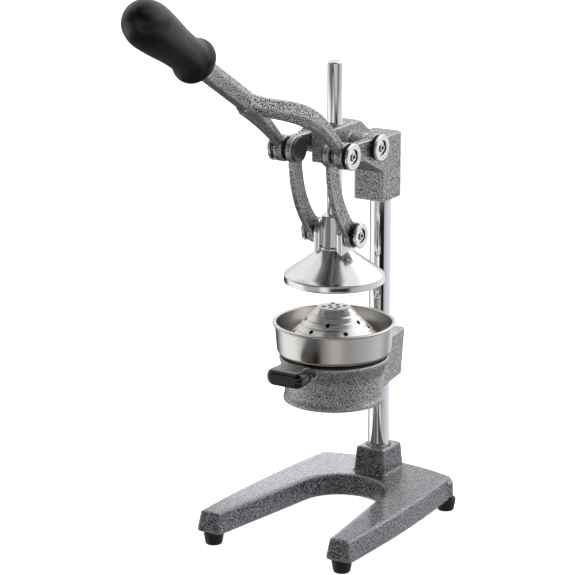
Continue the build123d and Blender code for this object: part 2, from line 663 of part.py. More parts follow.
for side, name in ((-1, "left"), (1, "right")):
    with BuildPart() as link:
        with BuildSketch(Plane.YZ.offset(side * link_inner_x)):
            outer_rail = link_rail(link_half_height)
            inner_rail = link_rail(-link_half_height)
            with BuildLine():
                ThreePointArc(*outer_rail)
                Line(outer_rail[2], inner_rail[2])
                ThreePointArc(*inner_rail)
                Line(inner_rail[0], outer_rail[0])
            make_face()
            with Locations((crank_y, crank_z)):
                Circle(link_top_eye)
            with Locations((bell_pin_y, bell_pin_z)):
                Circle(bell_eye_radius)
        extrude(amount=side * (link_outer_x - link_inner_x))
        with BuildSketch(Plane.YZ.offset(side * link_inner_x)):
            with Locations((crank_y, crank_z)):
                Circle(pin_radius + running_gap)
            with Locations((bell_pin_y, bell_pin_z)):
                Circle(open_eye_bore)
        extrude(amount=side * (link_outer_x - link_inner_x), mode=Mode.SUBTRACT)
    finish(link, f"link_{name}")


# ---------------------------------------------------------------- pivot hardware
def disc(side, near, far, place, radius, bore=0.0):
    """Round plate across X between two distances from the middle."""
    with BuildPart() as plate:
        with BuildSketch(Plane.YZ.offset(side * near)):
            with Locations(place):
                Circle(radius)
                if bore:
                    Circle(bore, mode=Mode.SUBTRACT)
        extrude(amount=side * (far - near))
    return plate


def hex_nut(side, near, far, place, across_corners, bore):
    """Hexagon nut across X."""
    with BuildPart() as nut:
        with BuildSketch(Plane.YZ.offset(side * near)):
            with Locations(place):
                RegularPolygon(across_corners, 6)
                Circle(bore, mode=Mode.SUBTRACT)
        extrude(amount=side * (far - near))
    return nut


cap_socket_radius = 2.2


def cap_screw(side, tip, head_near, head_far, place, shank, head, flange=0.0):
    """Pin with a dished disc head and a hexagon socket; flange is a collar at the tip."""
    with BuildPart() as screw:
        with BuildSketch(Plane.YZ.offset(side * tip)):
            with Locations(place):
                Circle(shank)
        extrude(amount=side * (head_near - tip))
        with BuildSketch(Plane.YZ.offset(side * head_near)):
            with Locations(place):
                Circle(head)
        extrude(amount=side * (head_far - head_near))
        outer_rim = screw.edges().filter_by(GeomType.CIRCLE).group_by(Axis.X)[-1 if side > 0 else 0]
        chamfer(outer_rim, 0.6)
        with BuildSketch(Plane.YZ.offset(side * head_far)):
            with Locations(place):
                Circle(0.5 * head)
                Circle(0.33 * head, mode=Mode.SUBTRACT)
        extrude(amount=-side * 1.2, mode=Mode.SUBTRACT)
        with BuildSketch(Plane.YZ.offset(side * head_far)):
            with Locations(place):
                RegularPolygon(cap_socket_radius, 6)
        extrude(amount=-side * 2.2, mode=Mode.SUBTRACT)
        if flange:
            with BuildSketch(Plane.YZ.offset(side * tip)):
                with Locations(place):
                    Circle(flange)
            extrude(amount=side * 2.6)
    return screw


cap_near_x = 42.5
cap_far_x = 45.5
crank_place = (crank_y, crank_z)
pivot_place = (pivot_y, pivot_z)
bell_place = (bell_pin_y, bell_pin_z)

for side, name in ((-1, "left"), (1, "right")):
    # Crank pin: a shouldered pin pressed in the prong, carrying the link on its inner end.
    tip = link_inner_x - 3.0
    finish(cap_screw(side, tip, cap_near_x, cap_far_x, crank_place, pin_radius, 13.3, flange=12.4), f"crank_pin_{name}")
    finish(disc(side, link_outer_x + body_gap, 28.2, crank_place, 9.0, pin_radius), f"crank_spacer_{name}")
    finish(disc(side, 28.2, lever_inner_x, crank_place, 11.5, pin_radius), f"crank_inner_washer_{name}")
    finish(disc(side, lever_outer_x, 39.7, crank_place, 12.6, pin_radius), f"crank_outer_washer_{name}")
    finish(hex_nut(side, 39.7, cap_near_x, crank_place, 9.6, pin_radius), f"crank_nut_{name}")
    # Main pivot: the cap screws into the end of the pin and keeps the crank plate on.
    finish(disc(side, lever_outer_x + body_gap, 40.0, pivot_place, 12.4, pin_radius), f"pivot_washer_{name}")
    finish(hex_nut(side, 40.0, cap_near_x, pivot_place, 9.6, pin_radius), f"pivot_nut_{name}")
    finish(cap_screw(side, 30.0, cap_near_x, cap_far_x, pivot_place, 2.5, 13.3), f"pivot_cap_{name}")
    # Bell pin: screwed in the ear, with a loose link eye round its spacer.
    finish(disc(side, ear_outer_x, 24.6, bell_place, 4.8, 3.0), f"bell_spacer_{name}")
    finish(disc(side, 24.6, 25.6, bell_place, 12.0, 3.0), f"bell_washer_{name}")
    finish(hex_nut(side, 25.6, 28.4, bell_place, 9.0, 3.0), f"bell_nut_{name}")
    finish(cap_screw(side, ear_inner_x, 28.4, 31.6, bell_place, 3.0, 12.6), f"bell_pin_{name}")

with BuildPart() as pivot_pin:
    with BuildSketch(Plane.YZ.offset(-cap_near_x)):
        with Locations(pivot_place):
            Circle(pin_radius)
    extrude(amount=2 * cap_near_x)
    for side in (-1, 1):
        with BuildSketch(Plane.YZ.offset(side * cap_near_x)):
            with Locations(pivot_place):
                Circle(2.5)
        extrude(amount=-side * 12.5, mode=Mode.SUBTRACT)
finish(pivot_pin, "pivot_pin")
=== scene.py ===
import math
import bmesh
import bpy
from mathutils import Matrix, Vector


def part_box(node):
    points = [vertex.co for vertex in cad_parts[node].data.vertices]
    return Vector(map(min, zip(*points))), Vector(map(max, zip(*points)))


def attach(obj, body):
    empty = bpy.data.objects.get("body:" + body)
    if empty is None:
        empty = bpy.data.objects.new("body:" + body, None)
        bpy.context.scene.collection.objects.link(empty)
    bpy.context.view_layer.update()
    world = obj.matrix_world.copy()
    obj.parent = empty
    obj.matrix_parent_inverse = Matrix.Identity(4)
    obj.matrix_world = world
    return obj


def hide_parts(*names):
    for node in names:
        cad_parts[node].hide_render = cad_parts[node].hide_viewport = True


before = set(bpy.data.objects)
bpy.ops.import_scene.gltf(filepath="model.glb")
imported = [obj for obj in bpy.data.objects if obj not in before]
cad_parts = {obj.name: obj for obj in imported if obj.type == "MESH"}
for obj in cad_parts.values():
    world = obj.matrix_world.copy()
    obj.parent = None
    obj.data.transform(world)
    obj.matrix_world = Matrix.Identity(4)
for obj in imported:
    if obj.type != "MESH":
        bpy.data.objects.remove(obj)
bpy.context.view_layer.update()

mm = 0.001


def middle(node):
    low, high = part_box(node)
    return (low + high) / 2


pressAxis = Vector((middle("press_bell").x, middle("press_bell").y, 0.0))
columnAxis = Vector((middle("column").x, middle("column").y, 0.0))

# small node helpers


def addNode(tree, kind, **values):
    node = tree.nodes.new(kind)
    for key, value in values.items():
        setattr(node, key, value)
    return node


def join(tree, start, end):
    tree.links.new(start, end)


def mathNode(tree, operation, first, second=0.0, clamp=False):
    node = addNode(tree, "ShaderNodeMath", operation=operation, use_clamp=clamp)
    for place, value in enumerate((first, second)):
        if isinstance(value, (int, float)):
            node.inputs[place].default_value = value
        else:
            join(tree, value, node.inputs[place])
    return node.outputs[0]


def ramp(tree, factor, stops):
    node = addNode(tree, "ShaderNodeValToRGB")
    elements = node.color_ramp.elements
    while len(elements) > 1:
        elements.remove(elements[-1])
    for place, (position, colour) in enumerate(stops):
        element = elements[0] if place == 0 else elements.new(position)
        element.position = position
        element.color = (*colour, 1.0) if isinstance(colour, tuple) else (colour, colour, colour, 1.0)
    join(tree, factor, node.inputs["Fac"])
    return node.outputs["Color"]


def newGroup(name, inputs, outputs):
    group = bpy.data.node_groups.new(name, "ShaderNodeTree")
    for label, kind, value in inputs:
        socket = group.interface.new_socket(label, in_out="INPUT", socket_type=kind)
        socket.default_value = value
    for label, kind in outputs:
        group.interface.new_socket(label, in_out="OUTPUT", socket_type=kind)
    return group, group.nodes.new("NodeGroupInput"), group.nodes.new("NodeGroupOutput")


# shared surface effects


def hammerGroup():  # hammered enamel: pale islands with dark gaps, the dimples that go with them, and a painted highlight on corners
    group, given, result = newGroup(
        "hammerMottle",
        [("Cells", "NodeSocketFloat", 620.0), ("Grit", "NodeSocketFloat", 1300.0),
         ("Dark", "NodeSocketColor", (0.1, 0.1, 0.1, 1)), ("Pale", "NodeSocketColor", (0.5, 0.5, 0.5, 1)),
         ("Gloss", "NodeSocketFloat", 0.32), ("Worn", "NodeSocketFloat", 0.6)],
        [("Colour", "NodeSocketColor"), ("Roughness", "NodeSocketFloat"), ("Height", "NodeSocketFloat")])
    place = addNode(group, "ShaderNodeTexCoord")
    wander = addNode(group, "ShaderNodeTexNoise")
    wander.inputs["Scale"].default_value = 260.0
    wander.inputs["Detail"].default_value = 2.0
    join(group, place.outputs["Object"], wander.inputs["Vector"])
    shift = addNode(group, "ShaderNodeVectorMath", operation="MULTIPLY_ADD")
    join(group, wander.outputs["Color"], shift.inputs[0])
    shift.inputs[1].default_value = (0.0009, 0.0009, 0.0009)
    join(group, place.outputs["Object"], shift.inputs[2])
    cells = addNode(group, "ShaderNodeTexVoronoi", feature="SMOOTH_F1")
    cells.inputs["Smoothness"].default_value = 0.35
    join(group, shift.outputs[0], cells.inputs["Vector"])
    join(group, given.outputs["Cells"], cells.inputs["Scale"])
    fine = addNode(group, "ShaderNodeTexNoise")
    fine.inputs["Detail"].default_value = 2.0
    join(group, given.outputs["Grit"], fine.inputs["Scale"])
    join(group, place.outputs["Object"], fine.inputs["Vector"])
    broad = addNode(group, "ShaderNodeTexNoise")
    broad.inputs["Scale"].default_value = 60.0
    join(group, place.outputs["Object"], broad.inputs["Vector"])
    shade = mathNode(group, "SUBTRACT", 1.4, mathNode(group, "MULTIPLY", cells.outputs["Distance"], 2.0))
    speckle = mathNode(group, "MULTIPLY", mathNode(group, "SUBTRACT", fine.outputs["Fac"], 0.5), 1.0)
    shade = mathNode(group, "ADD", shade, speckle)
    drift = mathNode(group, "MULTIPLY", mathNode(group, "SUBTRACT", broad.outputs["Fac"], 0.5), 0.2)
    shade = mathNode(group, "ADD", shade, drift, clamp=True)
    mixed = addNode(group, "ShaderNodeMix", data_type="RGBA")
    join(group, shade, mixed.inputs["Factor"])
    join(group, given.outputs["Dark"], mixed.inputs["A"])
    join(group, given.outputs["Pale"], mixed.inputs["B"])
    edge = addNode(group, "ShaderNodeNewGeometry")  # painted highlight: corners turned towards the pale colour, standing for the light they catch
    corner = ramp(group, edge.outputs["Pointiness"], [(0.50, 0.0), (0.56, 1.0)])
    edgeHighlightMix = addNode(group, "ShaderNodeMix", data_type="RGBA")
    join(group, mathNode(group, "MULTIPLY", corner, given.outputs["Worn"]), edgeHighlightMix.inputs["Factor"])
    join(group, mixed.outputs["Result"], edgeHighlightMix.inputs["A"])
    join(group, given.outputs["Pale"], edgeHighlightMix.inputs["B"])
    join(group, edgeHighlightMix.outputs["Result"], result.inputs["Colour"])
    sheen = mathNode(group, "MULTIPLY", shade, -0.08)
    join(group, mathNode(group, "ADD", given.outputs["Gloss"], sheen), result.inputs["Roughness"])
    join(group, mathNode(group, "ADD", mathNode(group, "MULTIPLY", cells.outputs["Distance"], -1.0),
                         mathNode(group, "MULTIPLY", fine.outputs["Fac"], 0.25)), result.inputs["Height"])
    return group


def ringGrainGroup():  # fine rings left by a lathe or a polishing wheel, about an upright axis
    group, given, result = newGroup(
        "ringGrain",
        [("Centre", "NodeSocketVector", (0, 0, 0)), ("Rings", "NodeSocketFloat", 900.0),
         ("Depth", "NodeSocketFloat", 0.2), ("Gloss", "NodeSocketFloat", 0.2)],
        [("Tone", "NodeSocketFloat"), ("Roughness", "NodeSocketFloat"), ("Height", "NodeSocketFloat")])
    place = addNode(group, "ShaderNodeTexCoord")
    offset = addNode(group, "ShaderNodeVectorMath", operation="SUBTRACT")
    join(group, place.outputs["Object"], offset.inputs[0])
    join(group, given.outputs["Centre"], offset.inputs[1])
    parts = addNode(group, "ShaderNodeSeparateXYZ")
    join(group, offset.outputs[0], parts.inputs[0])
    flat = addNode(group, "ShaderNodeCombineXYZ")
    join(group, parts.outputs["X"], flat.inputs["X"])
    join(group, parts.outputs["Y"], flat.inputs["Y"])
    radius = addNode(group, "ShaderNodeVectorMath", operation="LENGTH")
    join(group, flat.outputs[0], radius.inputs[0])
    line = addNode(group, "ShaderNodeCombineXYZ")
    join(group, radius.outputs["Value"], line.inputs["X"])
    join(group, parts.outputs["Z"], line.inputs["Y"])
    grain = addNode(group, "ShaderNodeTexNoise")
    grain.inputs["Detail"].default_value = 4.0
    join(group, line.outputs[0], grain.inputs["Vector"])
    join(group, given.outputs["Rings"], grain.inputs["Scale"])
    swing = mathNode(group, "MULTIPLY", mathNode(group, "SUBTRACT", grain.outputs["Fac"], 0.5), given.outputs["Depth"])
    join(group, mathNode(group, "ADD", 1.0, swing), result.inputs["Tone"])
    uneven = mathNode(group, "MULTIPLY", swing, 0.4)
    join(group, mathNode(group, "ADD", given.outputs["Gloss"], uneven), result.inputs["Roughness"])
    join(group, grain.outputs["Fac"], result.inputs["Height"])
    return group


hammer = hammerGroup()
ringGrain = ringGrainGroup()

# materials


def material(name, base, metal, rough, **more):
    made = bpy.data.materials.new(name)
    made.use_nodes = True
    shader = made.node_tree.nodes["Principled BSDF"]
    shader.inputs["Base Color"].default_value = (*base, 1.0)
    shader.inputs["Metallic"].default_value = metal
    shader.inputs["Roughness"].default_value = rough
    for label, value in more.items():
        shader.inputs[label.replace("_", " ")].default_value = value
    return made, made.node_tree, shader


def placeGroup(tree, group, **values):
    node = addNode(tree, "ShaderNodeGroup", node_tree=group)
    for label, value in values.items():
        node.inputs[label].default_value = value
    return node


bumps = {"dimple": 0.0007, "ring": 0.0002, "ringStrength": 0.12}  # depths in metres


def bumpInto(tree, shader, height, strength, distance):
    bump = addNode(tree, "ShaderNodeBump")
    bump.inputs["Strength"].default_value = strength
    bump.inputs["Distance"].default_value = distance
    join(tree, height, bump.inputs["Height"])
    join(tree, bump.outputs["Normal"], shader.inputs["Normal"])


def castingPaint(name, look, coat, dimple):
    made, tree, shader = material(name, (0.3, 0.3, 0.3), 0.95, 0.35, Coat_Weight=coat, Coat_Roughness=0.12)
    mottle = placeGroup(tree, hammer, **look)
    join(tree, mottle.outputs["Colour"], shader.inputs["Base Color"])
    join(tree, mottle.outputs["Roughness"], shader.inputs["Roughness"])
    bumpInto(tree, shader, mottle.outputs["Height"], dimple, bumps["dimple"])
    return made


def turnedMetal(name, base, rough, rings, depth, spread):
    made, tree, shader = material(name, base, 1.0, rough, Anisotropic=spread)
    grain = placeGroup(tree, ringGrain, Centre=tuple(pressAxis), Rings=rings, Depth=depth, Gloss=rough)
    tone = addNode(tree, "ShaderNodeMix", data_type="RGBA", blend_type="MULTIPLY")
    tone.inputs["Factor"].default_value = 1.0
    tone.inputs["A"].default_value = (*base, 1.0)
    join(tree, grain.outputs["Tone"], tone.inputs["B"])
    join(tree, tone.outputs["Result"], shader.inputs["Base Color"])
    join(tree, grain.outputs["Roughness"], shader.inputs["Roughness"])
    bumpInto(tree, shader, grain.outputs["Height"], bumps["ringStrength"], bumps["ring"])
    tangent = addNode(tree, "ShaderNodeTangent", direction_type="RADIAL", axis="Z")
    join(tree, tangent.outputs[0], shader.inputs["Tangent"])
    return made


def speckled(name, base, metal, rough, scale, swing, **more):  # plain finishes with a faint, real unevenness
    made, tree, shader = material(name, base, metal, rough, **more)
    place = addNode(tree, "ShaderNodeTexCoord")
    noise = addNode(tree, "ShaderNodeTexNoise")
    noise.inputs["Scale"].default_value = scale
    noise.inputs["Detail"].default_value = 3.0
    join(tree, place.outputs["Object"], noise.inputs["Vector"])
    uneven = mathNode(tree, "MULTIPLY", noise.outputs["Fac"], swing)
    join(tree, mathNode(tree, "ADD", rough - 0.5 * swing, uneven), shader.inputs["Roughness"])
    return made


# the same hammered enamel runs thick and glossy with coarser cells on the base, finer and drier on the upper castings;
# its darker tone on the base is painted shade, its paler tone on the upper castings and lever is painted light, and
# the last value in each sets the painted highlight on corners
paints = {
    "base": {"Cells": 690.0, "Grit": 1300.0, "Dark": (0.045, 0.045, 0.05, 1), "Pale": (0.42, 0.42, 0.45, 1),
             "Gloss": 0.30, "Worn": 1.0},
    "upper": {"Cells": 850.0, "Grit": 1500.0, "Dark": (0.15, 0.148, 0.146, 1), "Pale": (0.88, 0.87, 0.87, 1),
              "Gloss": 0.38, "Worn": 0.6},
    "lever": {"Cells": 820.0, "Grit": 1500.0, "Dark": (0.08, 0.077, 0.073, 1), "Pale": (0.90, 0.88, 0.86, 1),
              "Gloss": 0.31, "Worn": 1.0}}
basePaint = castingPaint("glossyHammertone", paints["base"], 0.6, 0.9)
upperPaint = castingPaint("fineHammertone", paints["upper"], 0.2, 0.6)
leverPaint = castingPaint("leverHammertone", paints["lever"], 0.35, 0.6)
aluminium = turnedMetal("turnedAluminium", (0.84, 0.84, 0.85), 0.15, 1500.0, 0.08, 0.5)
stainless = turnedMetal("brushedStainless", (0.74, 0.72, 0.70), 0.25, 1100.0, 0.12, 0.2)
chrome = speckled("brightChrome", (0.93, 0.93, 0.94), 1.0, 0.05, 60.0, 0.03)
capChrome = speckled("satinChrome", (0.92, 0.92, 0.93), 1.0, 0.13, 300.0, 0.06)
capHub = speckled("tintedHub", (0.84, 0.76, 0.64), 1.0, 0.22, 300.0, 0.06)
# polished steel plate whose darker, warm base colour is a painted reflection, standing for the dark and tan
# reflections it shows
plateChrome = speckled("reflectionToneSteelPlate", (0.50, 0.47, 0.45), 1.0, 0.10, 200.0, 0.05)
darkSteel = speckled("blackenedSteel", (0.19, 0.19, 0.195), 1.0, 0.34, 400.0, 0.08)
capPit = material("shadedPit", (0.03, 0.028, 0.026), 0.3, 0.45)[0]
blackGloss = speckled("blackGloss", (0.004, 0.0035, 0.0035), 0.0, 0.32, 90.0, 0.05, Specular_IOR_Level=0.5)
blackMould = speckled("blackMoulding", (0.004, 0.004, 0.0045), 0.0, 0.15, 120.0, 0.04,
                      Coat_Weight=0.4, Coat_Roughness=0.05)
washerBlack = material("blackWasher", (0.012, 0.012, 0.013), 0.1, 0.38)[0]
rubber = speckled("footRubber", (0.013, 0.013, 0.014), 0.0, 0.5, 700.0, 0.2)
gasketRubber = material("gasketRubber", (0.01, 0.01, 0.01), 0.0, 0.6)[0]
zinc = speckled("zincSteel", (0.62, 0.62, 0.63), 1.0, 0.32, 500.0, 0.15)
print("materials made:", len(bpy.data.materials))

# shape helpers


def roundCorners(line, closed=False):  # line holds (radius, height, corner radius) in millimetres
    points, count = [], len(line)
    for i, point in enumerate(line):
        here, corner = Vector(point[:2]), point[2] if len(point) > 2 else 0.0
        if corner <= 0 or (not closed and i in (0, count - 1)):
            points.append((here.x, here.y, point[3] if len(point) > 3 else 0))
            continue
        back = Vector(line[i - 1][:2]) - here
        on = Vector(line[(i + 1) % count][:2]) - here
        half = back.angle(on) / 2
        reach = min(corner / math.tan(half), 0.48 * back.length, 0.48 * on.length)
        centre = here + (back.normalized() + on.normalized()).normalized() * (reach / math.cos(half))
        start, end = here + back.normalized() * reach - centre, here + on.normalized() * reach - centre
        turn = math.atan2(start.x * end.y - start.y * end.x, start.dot(end))
        steps = max(2, round(abs(turn) / math.radians(15)))
        for k in range(steps + 1):
            c, s = math.cos(turn * k / steps), math.sin(turn * k / steps)
            points.append((centre.x + start.x * c - start.y * s, centre.y + start.x * s + start.y * c,
                           point[3] if len(point) > 3 else 0))
    return points


def finishMesh(name, bm, materials, sharp=32.0):
    bmesh.ops.remove_doubles(bm, verts=bm.verts, dist=1e-6)
    bmesh.ops.recalc_face_normals(bm, faces=bm.faces)
    mesh = bpy.data.meshes.new(name)
    bm.to_mesh(mesh)
    bm.free()
    mesh.shade_smooth()
    mesh.set_sharp_from_angle(angle=math.radians(sharp))
    for one in materials:
        mesh.materials.append(one)
    piece = bpy.data.objects.new(name, mesh)
    bpy.context.scene.collection.objects.link(piece)
    return piece


def upright(axis, height):
    return Matrix.Translation(axis + Vector((0, 0, height)))


def camel(node):
    first, *others = node.split("_")
    return first + "".join(word.title() for word in others)


def towards(direction, centre):
    return Matrix.Translation(centre) @ Vector(direction).to_track_quat("Z", "Y").to_matrix().to_4x4()


def lathe(name, line, place, materials, closed=False, steps=96, pick=None, bm=None):
    # place is a matrix whose Z is the axis; a point's fourth number is the count of flats it has, as on a hexagon
    own = bm is None
    bm = bm or bmesh.new()
    backwards = place.inverted()
    rings = []
    for radius, height, flats in roundCorners(line, closed):
        if radius < 1e-4:
            rings.append([bm.verts.new(place @ Vector((0, 0, height * mm)))])
            continue
        ring = []
        for k in range(steps):
            angle = 2 * math.pi * k / steps
            reach = radius
            if flats:
                part = math.pi / flats
                reach = min(radius, radius * math.cos(part) / math.cos((angle % (2 * part)) - part))
            spot = Vector((reach * mm * math.cos(angle), reach * mm * math.sin(angle), height * mm))
            ring.append(bm.verts.new(place @ spot))
        rings.append(ring)
    for first, second in zip(rings, rings[1:] + ([rings[0]] if closed else [])):
        for k in range(steps):
            corners = []
            for ring, at in ((first, k), (first, k + 1), (second, k + 1), (second, k)):
                vert = ring[at % len(ring)]
                if vert not in corners:
                    corners.append(vert)
            if len(corners) > 2:
                face = bm.faces.new(corners)
                if pick:
                    spots = [backwards @ v.co for v in corners]
                    out = sum(v.to_2d().length for v in spots) / len(spots) / mm
                    face.material_index = pick(out, sum(v.z for v in spots) / len(spots) / mm)
    return finishMesh(name, bm, materials) if own else bm


def settle(piece, body, slotName, *nodes):
    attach(piece, body)
    if nodes:
        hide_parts(*nodes)
    return piece


def softCasting(name, node, body, voxel, passes, look, slotName):
    # a cast piece: the same solid with its corners worn soft, as sand casting and thick enamel leave them
    bm = bmesh.new()
    bm.from_mesh(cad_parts[node].data)
    bmesh.ops.remove_doubles(bm, verts=bm.verts, dist=1e-6)
    mesh = bpy.data.meshes.new(name + "Solid")
    bm.to_mesh(mesh)
    bm.free()
    source = bpy.data.objects.new(name + "Solid", mesh)
    bpy.context.scene.collection.objects.link(source)
    remesh = source.modifiers.new("cast", "REMESH")
    remesh.mode = "VOXEL"
    remesh.voxel_size = voxel * mm
    remesh.use_smooth_shade = True
    ease = source.modifiers.new("ease", "SMOOTH")
    ease.factor = 0.5
    ease.iterations = passes
    graph = bpy.context.evaluated_depsgraph_get()
    result = bpy.data.meshes.new_from_object(source.evaluated_get(graph), depsgraph=graph)
    bpy.data.objects.remove(source)
    result.name = name
    result.materials.clear()
    result.materials.append(look)
    result.shade_smooth()
    piece = bpy.data.objects.new(name, result)
    bpy.context.scene.collection.objects.link(piece)
    print("cast", name, len(result.polygons), "faces")
    return settle(piece, body, slotName, node)


# castings: node, body, voxel in millimetres, smoothing passes, material and slot
castings = {"baseCasting": ("base_casting", "stand", 1.25, 6, basePaint, "hammertone"),
            "ringCasting": ("ring_bracket", "stand", 1.0, 6, upperPaint, "hammertone"),
            "headCasting": ("head_bracket", "stand", 1.0, 5, upperPaint, "hammertone"),
            "leverCasting": ("lever_fork", "lever", 0.7, 8, leverPaint, "hammertone"),
            "linkLeft": ("link_left", "left_link", 0.7, 4, leverPaint, "hammertone"),
            "linkRight": ("link_right", "right_link", 0.7, 4, leverPaint, "hammertone"),
            "funnelHandle": ("funnel_grip", "stand", 0.6, 9, blackMould, "black_gloss")}
for name, values in castings.items():
    softCasting(name, *values)

# column and guide rod
columnSizes = {"radius": 11.0, "footRound": 1.0, "topRound": 1.0}
rodSizes = {"radius": 7.5, "footRound": 0.5, "topRound": 1.6}


def buildBar(name, node, body, axis, s):
    low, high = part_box(node)
    height = (high.z - low.z) / mm
    line = [(0, 0), (s["radius"], 0, s["footRound"]), (s["radius"], height, s["topRound"]), (0, height)]
    return settle(lathe(name, line, upright(axis, low.z), [chrome]), body, "chrome", node)


buildBar("chromeColumn", "column", "stand", columnAxis, columnSizes)
buildBar("guideRod", "guide_rod", "bell", pressAxis, rodSizes)

# bell
bellSizes = {"rim": 50.0, "band": 8.0, "wall": 3.3, "neck": 13.3, "neckTop": 12.4, "neckFoot": 35.2, "top": 67.7,
             "earInner": 9.5, "earOuter": 16.6, "earHalf": 13.0, "pinHeight": 49.7, "earDrop": 19.0, "earRound": 1.6,
             "earEase": 0.3, "earSteps": 40}


def stadium(bm, side, s, origin):  # a lug with a round top, its long edges eased
    count, layers, c, e = s["earSteps"], [], s["earRound"], s["earEase"] * s["earRound"]
    mid = 0.5 * (s["earInner"] + s["earOuter"])
    half = 0.5 * (s["earOuter"] - s["earInner"])
    for depth, inset in ((-half, c), (-half + e, e), (-half + c, 0.0), (half - c, 0.0), (half - e, e), (half, c)):
        ring, reach = [], s["earHalf"] - inset
        ring.append((reach, s["pinHeight"] - s["earDrop"]))
        for k in range(count + 1):
            angle = math.pi * k / count
            ring.append((reach * math.cos(angle), s["pinHeight"] + reach * math.sin(angle)))
        ring.append((-reach, s["pinHeight"] - s["earDrop"]))
        layers.append([bm.verts.new(origin + Vector((side * (mid + depth), y, z)) * mm) for y, z in ring])
    for a, b in zip(layers, layers[1:]):
        for k in range(len(a)):
            bm.faces.new((a[k], a[(k + 1) % len(a)], b[(k + 1) % len(b)], b[k]))
    bm.faces.new(layers[0])
    bm.faces.new(layers[-1])


def buildBell():
    s = bellSizes
    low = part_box("press_bell")[0]
    origin = Vector((pressAxis.x, pressAxis.y, low.z))
    line = [(0, s["top"]), (s["neckTop"], s["top"], 1.1), (s["neck"], s["neckFoot"] + 1.6, 1.2),
            (s["neck"] + 1.5, s["neckFoot"] + 0.4, 0.7), (s["neck"] + 1.5, s["neckFoot"] - 1.2, 0.5),
            (s["rim"] - 3.8, s["band"] + 2.6, 6.0), (s["rim"], s["band"] - 0.6, 2.0), (s["rim"], 0.0, 0.9),
            (s["rim"] - s["wall"], 0.0, 0.8), (s["rim"] - s["wall"], s["band"] - 2.4, 3.0), (14.0, s["neckFoot"] - 5.4, 5.0),
            (0, s["neckFoot"] - 5.4)]
    bm = lathe("", line, Matrix.Translation(origin), [], steps=144, bm=bmesh.new())
    for side in (-1, 1):
        stadium(bm, side, s, origin)
    return settle(finishMesh("pressBell", bm, [aluminium]), "bell", "turned_aluminium", "press_bell")


buildBell()
print("column, rod and bell built")

# bowl and strainer cone
bowlSizes = {"bottom": 56.6, "wall": 58.9, "rim": 61.45, "height": 32.4, "sheet": 1.4, "floorHole": 40.5}


def buildBowl():
    s = bowlSizes
    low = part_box("strainer_bowl")[0]
    t, h = s["sheet"], s["height"]
    line = [(s["floorHole"], 0.0, 0.5), (s["bottom"], 0.0, 4.8), (s["wall"], h - 3.0, 0.5), (s["rim"], h - 2.9, 1.3),
            (s["rim"], h - 0.1, 1.4), (s["wall"] - t, h - 0.1, 1.4),
            (s["bottom"] - t, t, 4.0), (s["floorHole"], t, 0.5)]
    bowl = lathe("strainerBowl", line, upright(pressAxis, low.z), [stainless], closed=True, steps=160)
    return settle(bowl, "strainer", "stainless", "strainer_bowl")


buildBowl()
coneSizes = {"top": 18.0, "base": 42.7, "topHeight": 45.6, "baseHeight": 17.4, "foot": 47.5, "flange": 50.5, "sheet": 1.5,
             "steps": 5, "hole": 2.35, "punch": 12.0,
             # radius, count, first angle, height and how far the punch rises for each row
             "rows": [(10.4, 4, 38.0, 45.6, 900.0), (5.4, 4, 83.0, 45.6, 900.0), (28.0, 5, 0.0, 33.0, 26.4),
                      (34.5, 6, 20.4, 26.1, 32.5), (39.8, 4, 35.9, 20.5, 37.5)]}


